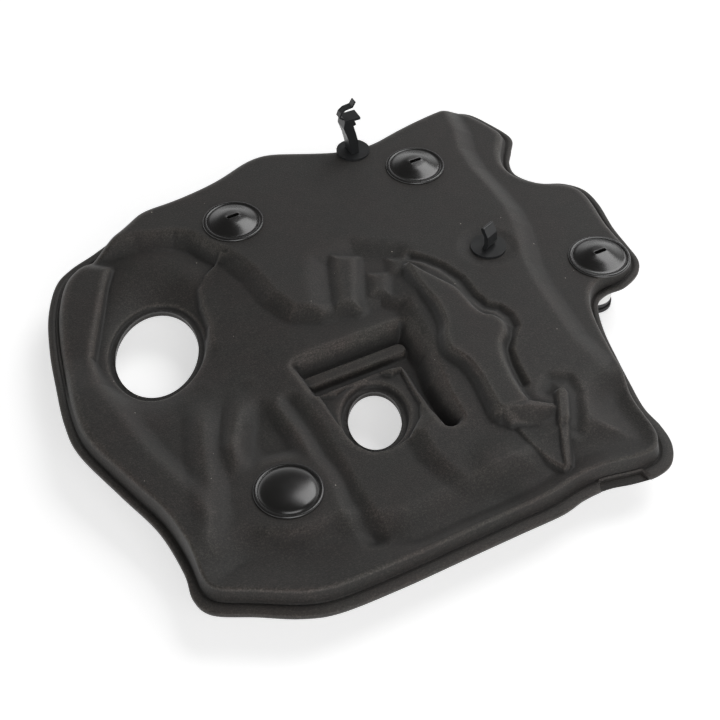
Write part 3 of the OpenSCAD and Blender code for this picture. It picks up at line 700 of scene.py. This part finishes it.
def panel_back(material, step):
    """Underside of the panel, from a flat border under the lip."""
    skin = Skin()
    y = EDGE[:, 1]
    wall, low = lip_width(y) + WALL_LEAN, lip_height(y)[::2]
    start = inset_loop(wall + 3, 2)
    rows = [skin.add(with_z(inset_loop(0.6, 2), low - 0.2)),
            skin.add(with_z(inset_loop(wall + 2, 2), low)),
            skin.add(with_z(start, low + 1))]
    for a, b in zip(rows, rows[1:]):
        skin.band(a, b, flip=True)

    def height(p):
        border = lip_height(p[:, 1]) + 1
        return between(border, under_at(p), ease(3, 11, inset_of(p)))

    holes = panel_holes()
    inner = grid_points(height, start, holes, step)
    inner_rows = skin.add(with_z(inner, height(inner)))
    rims = [OVAL_RIM_Z - RIM_T, PORT_RIM_Z - RIM_T]
    levels = rims + [height(hole) for hole in holes[len(rims):]]
    hole_rows = [skin.add(with_z(hole, level)) for hole, level in zip(holes, levels)]
    skin.fill(rows[-1], hole_rows, inner_rows, height, flip=True)
    piece = skin.object("panel_back", material)
    press(piece, np.full(len(piece.data.vertices), FLAT))
    return piece


def cap_height(r, look, blind):
    """Profile of a cap: crown, shallow groove and flat rim with a rounded edge."""
    outer, rise, rim = look.radius/MM, look.rise/MM, look.rim_height/MM
    # The crown springs from below the top of the rim, so a shallow groove shows round it
    inner, foot = outer - look.rim_width/MM, 0.4*rim
    if blind:
        crown = foot + rise*np.sqrt(np.clip(1 - (r/inner)**2, 0, 1))
    else:
        cone = foot + (rim + rise - foot)*(inner - r)/(inner - CROWN_TOP_R)
        crown = soft_min(rim + rise, cone, 2)
    edge = np.clip((r - outer)/CAP_EDGE_R + 1, 0, 1)
    rounding = CAP_EDGE_R*(1 - np.sqrt(1 - edge**2))
    flat = rim - 0.05*(outer - r) - 0.35*ease(inner + 0.6, inner, r) - rounding
    return np.where(r < inner, np.maximum(crown, rim - 0.5), flat)


def obround(at, length, width, count):
    """Points round a slot with round ends."""
    r = width/2
    a = np.linspace(-math.pi/2, math.pi/2, count//2)
    end = np.stack([np.cos(a)*r + length/2 - r, np.sin(a)*r], 1)
    return np.vstack([end, -end]) + np.asarray(at, float)


def cap(name, at, base, blind, look, material):
    """Cap whose crown is closed or has a slot at its top."""
    skin = Skin()
    outer = look.radius/MM
    inner = outer - look.rim_width/MM
    radii = np.concatenate([
        np.linspace(1.2, CROWN_TOP_R, 5) if blind else [CROWN_TOP_R + 0.2],
        np.linspace(CROWN_TOP_R + 1, inner - 0.5, 12),
        inner + np.array([-0.2, 0, 0.1, 0.3, 0.6, 1.2]),
        outer - CAP_EDGE_R + CAP_EDGE_R*np.sin(np.radians(range(0, 91, 15)))])

    def ring(r, z):
        return skin.add(with_z(ellipse(at, 2*r, 2*r, 0, 96), base + z))

    rows = [ring(r, cap_height(np.array([r]), look, blind)[0]) for r in radii]
    rows.append(ring(outer - 0.2, 0.05))
    for a, b in zip(rows, rows[1:]):
        skin.band(b, a)
    none = np.array([], int)
    if blind:
        skin.fill(rows[0], [], none, None)
        return skin.object(f"cap_{name}_gloss", material, smooth_angle=40)

    top = cap_height(np.array([0]), look, False)[0]

    def slot(grow, z):
        loop = obround(at, SLOT_L + 2*grow, SLOT_W + 2*grow, 40)
        return skin.add(with_z(loop, base + top + z))

    steps = [slot(0.35, -0.06), slot(0.1, -0.15), slot(0, -0.45), slot(-0.1, -3)]
    skin.fill(rows[0], steps[:1], none, None)
    for a, b in zip(steps, steps[1:]):
        skin.band(b, a)
    skin.fill(steps[-1], [], none, None)
    return skin.object(f"cap_{name}_gloss", material, smooth_angle=40)


def linear(hex_colour):
    """Colour sockets take linear light, so an sRGB colour is converted."""
    rgb = [int(hex_colour[i:i + 2], 16)/255 for i in (1, 3, 5)]
    return [c/12.92 if c <= 0.04045 else ((c + 0.055)/1.055)**2.4 for c in rgb] + [1]


def add_node(tree, kind, inputs=(), stops=(), **settings):
    """Adds a shader node with its settings, the places and colours of its ramp, and its inputs,
    each of which is a value or a socket to link from."""
    node = tree.nodes.new(kind)
    for name, value in settings.items():
        setattr(node, name, value)
    if stops:
        elements = node.color_ramp.elements
        while len(elements) < len(stops):
            elements.new(0.5)
        for element, (place, colour) in zip(elements, stops):
            element.position = place
            element.color = colour
    for name, value in dict(inputs).items():
        if isinstance(value, bpy.types.NodeSocket):
            tree.links.new(value, node.inputs[name])
        else:
            node.inputs[name].default_value = value
    return node


def new_material(name, **sockets):
    """Material with its shader's sockets set, where a socket's spaces are underscores."""
    material = bpy.data.materials.new(name)
    material.use_nodes = True
    shader = material.node_tree.nodes["Principled BSDF"]
    for socket, value in sockets.items():
        shader.inputs[socket.replace("_", " ")].default_value = value
    return material, material.node_tree, shader


def grey(level):
    """Colour of one level of linear light."""
    return [level, level, level, 1]


def soft_marks(tree, coords, size_mm, detail, stretch=(1, 1, 1)):
    """Pattern of soft marks, the largest about size_mm across."""
    stretched = add_node(tree, "ShaderNodeMapping", {"Vector": coords, "Scale": stretch})
    marks = add_node(tree, "ShaderNodeTexNoise", {
        "Vector": stretched.outputs[0], "Scale": 1000/size_mm, "Detail": detail})
    return marks.outputs["Fac"]


# Places of a mix node's factor and colours among its inputs, and of the result's colour
MIX_FACTOR, MIX_A, MIX_B, MIX_RESULT = 0, 6, 7, 2
# Sizes of the felt's patterns, in millimetres, and the share of cells that hold lint
TINT_SIZE, MOTTLE_SIZE = 30, 7
LINT_SPACING, LINT_R, LINT_SHARE = 9, 0.405, 0.2


def felt_material(look):
    """Needled polyester felt pressed hot on foam: dark and matt, with fine crossing fibres.
    Its colour carries a painted highlight along the crests and painted shade in the creases, and a
    few specks of lint."""
    material, tree, shader = new_material(
        "needled_felt", Roughness=look.roughness, IOR=1.5, Specular_IOR_Level=0.5,
        Sheen_Weight=0.2, Sheen_Roughness=0.4)
    coords = add_node(tree, "ShaderNodeTexCoord").outputs["Object"]
    # Single fibres are too fine to show, so each mark is as wide as a tuft of them
    size = look.fibre_size/MM
    fibres = soft_marks(tree, coords, size, detail=3, stretch=(0.6, 1.6, 1))
    crossing = soft_marks(tree, coords, size, detail=3, stretch=(1.6, 0.7, 1))
    both = add_node(tree, "ShaderNodeMath", {0: fibres, 1: crossing}, operation="ADD")
    half = add_node(tree, "ShaderNodeMath", {0: both.outputs[0], 1: 0.5}, operation="MULTIPLY")
    grain = half.outputs[0]
    # Painted highlight on the crests and painted shade in the creases, stored on the points of the
    # face
    pressed = add_node(tree, "ShaderNodeAttribute", attribute_name="pressed").outputs["Fac"]
    tints = soft_marks(tree, coords, TINT_SIZE, detail=2)
    mottles = soft_marks(tree, coords, MOTTLE_SIZE, detail=3)
    # The last ramp turns that into colour: painted shade down to half in the creases, painted
    # highlight up to 2.4 times on the crests
    fibre, tint, mottle, light_tone = [
        add_node(tree, "ShaderNodeValToRGB", {"Fac": value}, stops).outputs["Color"]
        for value, stops in (
            (grain, [(0.35, look.dark), (0.51, look.middle), (0.68, look.pale)]),
            (tints, [(0.35, [0.95, 1.0, 0.96, 1]), (0.65, [1.06, 0.99, 0.96, 1])]),
            (mottles, [(0.3, grey(0.86)), (0.7, grey(1.12))]),
            (pressed, [(0.0, grey(0.5)), (FLAT, grey(1)), (1.0, grey(2.4))]))]
    colour = fibre
    for layer in (tint, mottle, light_tone):
        mix = add_node(tree, "ShaderNodeMix", {MIX_FACTOR: 1.0, MIX_A: colour, MIX_B: layer},
                       data_type="RGBA", blend_type="MULTIPLY")
        colour = mix.outputs[MIX_RESULT]

    # Lint: one bright dot in a few of the cells of a loose pattern
    cells = add_node(tree, "ShaderNodeTexVoronoi", {
        "Vector": coords, "Scale": 1000/LINT_SPACING})
    dot = add_node(tree, "ShaderNodeMath", {
        0: cells.outputs["Distance"], 1: LINT_R/LINT_SPACING}, operation="LESS_THAN")
    chance = add_node(tree, "ShaderNodeSeparateColor", {"Color": cells.outputs["Color"]})
    few = add_node(tree, "ShaderNodeMath", {
        0: chance.outputs[0], 1: 1 - LINT_SHARE}, operation="GREATER_THAN")
    speck = add_node(tree, "ShaderNodeMath", {
        0: dot.outputs[0], 1: few.outputs[0]}, operation="MULTIPLY")
    mix = add_node(tree, "ShaderNodeMix", {
        MIX_FACTOR: speck.outputs[0], MIX_A: colour, MIX_B: linear("#a39d94")},
        data_type="RGBA", blend_type="MIX")
    tree.links.new(mix.outputs[MIX_RESULT], shader.inputs["Base Color"])
    bump = add_node(tree, "ShaderNodeBump", {
        "Height": grain, "Strength": 0.8, "Distance": 0.25*MM})
    tree.links.new(bump.outputs["Normal"], shader.inputs["Normal"])
    return material


def worn_material(name, colour, roughness, shine=0.5):
    """Moulded material whose gloss varies a little from place to place."""
    material, tree, shader = new_material(
        name, Base_Color=colour, IOR=1.5, Specular_IOR_Level=shine)
    coords = add_node(tree, "ShaderNodeTexCoord").outputs["Object"]
    wear = soft_marks(tree, coords, size_mm=6, detail=4)
    spread = add_node(tree, "ShaderNodeMapRange", {
        "Value": wear, "To Min": roughness*0.8, "To Max": roughness*1.25})
    tree.links.new(spread.outputs[0], shader.inputs["Roughness"])
    return material


def cad_material(node, material):
    """Gives a carried-over solid its finish."""
    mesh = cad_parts[node].data
    mesh.materials.clear()
    mesh.materials.append(material)


def place(piece, node, slot):
    """Fixes a piece to the cover in place of a solid."""
    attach(piece, "root")
    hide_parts(node)


def direction(azimuth, elevation):
    """Unit vector out of the part, where azimuth turns from the front edge to the right."""
    return Vector((math.sin(azimuth)*math.cos(elevation),
                   -math.cos(azimuth)*math.cos(elevation), math.sin(elevation)))


def area_light(name, azimuth, elevation, distance, size, watts, target=(0, 0, 0.03)):
    """Square softbox that points at a target."""
    way = direction(math.radians(azimuth), math.radians(elevation))
    light = bpy.data.lights.new(name, "AREA")
    light.size = size
    light.energy = watts
    lamp = bpy.data.objects.new(name, light)
    lamp.location = Vector(target) + way*distance
    lamp.rotation_mode = "QUATERNION"
    lamp.rotation_quaternion = way.to_track_quat("Z", "Y")
    bpy.context.scene.collection.objects.link(lamp)


def studio_world():
    """White paper sweeps up behind the part; the room above it is dim."""
    world = bpy.data.worlds.new("studio")
    world.use_nodes = True
    tree = world.node_tree
    way = add_node(tree, "ShaderNodeTexCoord").outputs["Generated"]
    height = add_node(tree, "ShaderNodeSeparateXYZ", {"Vector": way}).outputs["Z"]
    sky = add_node(tree, "ShaderNodeValToRGB", {"Fac": height}, stops=[
        (0.0, grey(1)), (0.25, grey(0.9)), (0.5, grey(0.1)), (1.0, grey(0.05))]).outputs["Color"]
    tree.links.new(sky, tree.nodes["Background"].inputs["Color"])
    return world


class ENGINECOVER_PG_panel(bpy.types.PropertyGroup):
    """Felt of the moulded panel."""
    dark: FloatVectorProperty(
        name="Dark fibres", description="Colour between the fibres",
        default=linear("#181615"), subtype="COLOR", size=4, min=0, max=1)
    middle: FloatVectorProperty(
        name="Fibres", description="Main colour of the felt",
        default=linear("#262321"), subtype="COLOR", size=4, min=0, max=1)
    pale: FloatVectorProperty(
        name="Pale fibres", description="Colour of the fibres that lie on top",
        default=linear("#3c3835"), subtype="COLOR", size=4, min=0, max=1)
    roughness: FloatProperty(
        name="Roughness", description="Roughness of the pressed felt",
        default=0.6, subtype="FACTOR", min=0, max=1)
    fibre_size: FloatProperty(
        name="Fibre size", description="Size of the largest marks of the fibres",
        default=1.0*MM, unit="LENGTH", min=0.2*MM, max=5*MM)
    face_step: FloatProperty(
        name="Face step", description="Distance between the points of the top face",
        default=1.0*MM, unit="LENGTH", min=0.8*MM, max=5*MM)
    back_step: FloatProperty(
        name="Back step", description="Distance between the points of the underside",
        default=2.5*MM, unit="LENGTH", min=1*MM, max=10*MM)


class ENGINECOVER_PG_caps(bpy.types.PropertyGroup):
    """Round retaining caps."""
    radius: FloatProperty(
        name="Radius", description="Outer radius of a cap",
        default=21*MM, unit="LENGTH", min=15*MM, max=30*MM)
    rim_width: FloatProperty(
        name="Rim width", description="Width of the flat rim round the crown",
        default=3*MM, unit="LENGTH", min=2*MM, max=6*MM)
    rim_height: FloatProperty(
        name="Rim height", description="Height of the rim above the felt",
        default=1.6*MM, unit="LENGTH", min=1*MM, max=4*MM)
    rise: FloatProperty(
        name="Crown rise", description="Height of the crown above the rim",
        default=4*MM, unit="LENGTH", min=1*MM, max=8*MM)
    colour: FloatVectorProperty(
        name="Colour", description="Colour of the glossy plastic",
        default=linear("#1a1918"), subtype="COLOR", size=4, min=0, max=1)
    roughness: FloatProperty(
        name="Roughness", description="Roughness of the glossy plastic",
        default=0.24, subtype="FACTOR", min=0, max=1)


class ENGINECOVER_PG_mounts(bpy.types.PropertyGroup):
    """Sockets, their housings, the clips and the label."""
    housing: FloatVectorProperty(
        name="Housings", description="Colour of the socket housings",
        default=linear("#2c2c2d"), subtype="COLOR", size=4, min=0, max=1)
    rubber: FloatVectorProperty(
        name="Sockets", description="Colour of the rubber sockets",
        default=linear("#1b1b1b"), subtype="COLOR", size=4, min=0, max=1)
    clip: FloatVectorProperty(
        name="Clips", description="Colour of the two clips",
        default=linear("#252627"), subtype="COLOR", size=4, min=0, max=1)
    label: FloatVectorProperty(
        name="Label", description="Colour of the bare label",
        default=linear("#e8e8e6"), subtype="COLOR", size=4, min=0, max=1)


class ENGINECOVER_PG_stage(bpy.types.PropertyGroup):
    """Floor, lights and camera."""
    azimuth: FloatProperty(
        name="Camera azimuth", description="Turn of the camera from the front edge",
        default=math.radians(-29), subtype="ANGLE")
    elevation: FloatProperty(
        name="Camera elevation", description="Angle of the camera above the floor",
        default=math.radians(45), subtype="ANGLE")
    distance: FloatProperty(
        name="Camera distance", description="Distance of the camera from its target",
        default=0.945, unit="LENGTH", min=0.3, max=5)
    lens: FloatProperty(
        name="Lens", description="Focal length in millimetres on a 36 mm sensor",
        default=75, min=20, max=200)
    key_power: FloatProperty(
        name="Key light", description="Power of the softbox high at the right side",
        default=37, unit="POWER", min=0)
    fill_power: FloatProperty(
        name="Fill light", description="Power of the softbox in front, a little to the left",
        default=9, unit="POWER", min=0)
    floor: FloatVectorProperty(
        name="Floor", description="Colour of the pale floor",
        default=linear("#f2f2f2"), subtype="COLOR", size=4, min=0, max=1)


class ENGINECOVER_OT_panel(bpy.types.Operator):
    """Builds the top and the underside of the moulded panel"""
    bl_idname = "object.engine_cover_panel"
    bl_label = "Build Panel"

    def execute(self, context):
        look = context.scene.engine_cover_panel
        felt = felt_material(look)
        place(panel_face(felt, look.face_step/MM), "panel", "felt")
        place(panel_back(felt, look.back_step/MM), "panel", "felt")
        return {"FINISHED"}


class ENGINECOVER_OT_caps(bpy.types.Operator):
    """Builds the four round caps"""
    bl_idname = "object.engine_cover_caps"
    bl_label = "Build Caps"

    def execute(self, context):
        look = context.scene.engine_cover_caps
        # Black polyamide from a polished mould, with a clear gloss
        gloss = worn_material("moulded_gloss_plastic", look.colour, look.roughness, 1)
        for name, (at, seat) in CAPS.items():
            piece = cap(name, at, seat, name == BLIND_CAP, look, gloss)
            place(piece, f"cap_{name}", "cap")
        return {"FINISHED"}


class ENGINECOVER_OT_mounts(bpy.types.Operator):
    """Gives the sockets, housings, clips and label their finish"""
    bl_idname = "object.engine_cover_mounts"
    bl_label = "Finish Mounts"

    def execute(self, context):
        look = context.scene.engine_cover_mounts
        # Satin black plastic as it leaves the mould
        plastic = worn_material("moulded_satin_plastic", look.housing, 0.45)
        # Matt rubber with a slight bloom
        rubber = worn_material("moulded_rubber", look.rubber, 0.7)
        # Smooth glossy nylon
        nylon = worn_material("moulded_nylon", look.clip, 0.35)
        # Coated white paper without print
        paper = worn_material("coated_paper", look.label, 0.5)
        for name in CAPS:
            cad_material(f"housing_{name}", plastic)
            cad_material(f"socket_{name}", rubber)
        for name in CLIPS:
            cad_material(f"clip_{name}", nylon)
        cad_material("label", paper)
        return {"FINISHED"}


class ENGINECOVER_OT_stage(bpy.types.Operator):
    """Builds the floor, the lights and the camera"""
    bl_idname = "object.engine_cover_stage"
    bl_label = "Build Stage"

    def execute(self, context):
        look = context.scene.engine_cover_stage
        scene = context.scene
        scene.view_settings.view_transform = "Standard"
        scene.world = studio_world()
        area_light("key_softbox", azimuth=106, elevation=52, distance=3.0, size=2.0,
                   watts=look.key_power)
        area_light("fill_softbox", azimuth=-15, elevation=30, distance=1.6, size=1.2,
                   watts=look.fill_power)

        bpy.ops.mesh.primitive_plane_add(size=8)
        floor = context.object
        floor.name = "floor"
        # Seamless paper, lit so that it turns white
        paper, _, _ = new_material(
            "seamless_paper", Base_Color=look.floor, Roughness=0.9,
            Emission_Color=(1, 1, 1, 1), Emission_Strength=0.55)
        floor.data.materials.append(paper)

        back = direction(look.azimuth, look.elevation)
        right = Vector((math.cos(look.azimuth), math.sin(look.azimuth), 0))
        data = bpy.data.cameras.new("camera")
        data.lens, data.sensor_width = look.lens, 36
        camera = bpy.data.objects.new("camera", data)
        turned = Matrix((right, back.cross(right), back)).transposed().to_4x4()
        target = Vector((-0.021, -0.028, 0.036))
        camera.matrix_world = Matrix.Translation(target + back*look.distance) @ turned
        scene.collection.objects.link(camera)
        scene.camera = camera
        return {"FINISHED"}


class ENGINECOVER_PT_sidebar(bpy.types.Panel):
    """Lists the steps of the engine cover and their settings"""
    bl_idname = "ENGINECOVER_PT_sidebar"
    bl_label = "Engine Cover"
    bl_space_type = "VIEW_3D"
    bl_region_type = "UI"
    bl_category = "Engine Cover"

    def draw(self, context):
        for name, (group, operator) in STEPS.items():
            box = self.layout.box()
            settings = getattr(context.scene, name)
            for key in group.__annotations__:
                box.prop(settings, key)
            box.operator(operator.bl_idname)


STEPS = {
    "engine_cover_stage": (ENGINECOVER_PG_stage, ENGINECOVER_OT_stage),
    "engine_cover_panel": (ENGINECOVER_PG_panel, ENGINECOVER_OT_panel),
    "engine_cover_caps": (ENGINECOVER_PG_caps, ENGINECOVER_OT_caps),
    "engine_cover_mounts": (ENGINECOVER_PG_mounts, ENGINECOVER_OT_mounts),
}


def register():
    """Adds the steps, their settings and the panel that lists them."""
    for name, (group, operator) in STEPS.items():
        bpy.utils.register_class(group)
        bpy.utils.register_class(operator)
        setattr(bpy.types.Scene, name, PointerProperty(type=group))
    bpy.utils.register_class(ENGINECOVER_PT_sidebar)


def unregister():
    """Takes away what register added."""
    bpy.utils.unregister_class(ENGINECOVER_PT_sidebar)
    for name, (group, operator) in reversed(STEPS.items()):
        delattr(bpy.types.Scene, name)
        bpy.utils.unregister_class(operator)
        bpy.utils.unregister_class(group)


def main():
    """Builds the cover and its studio."""
    register()
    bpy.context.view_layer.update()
    bpy.ops.object.engine_cover_stage()
    bpy.ops.object.engine_cover_panel()
    bpy.ops.object.engine_cover_caps()
    bpy.ops.object.engine_cover_mounts()


if __name__ == "__main__":
    main()
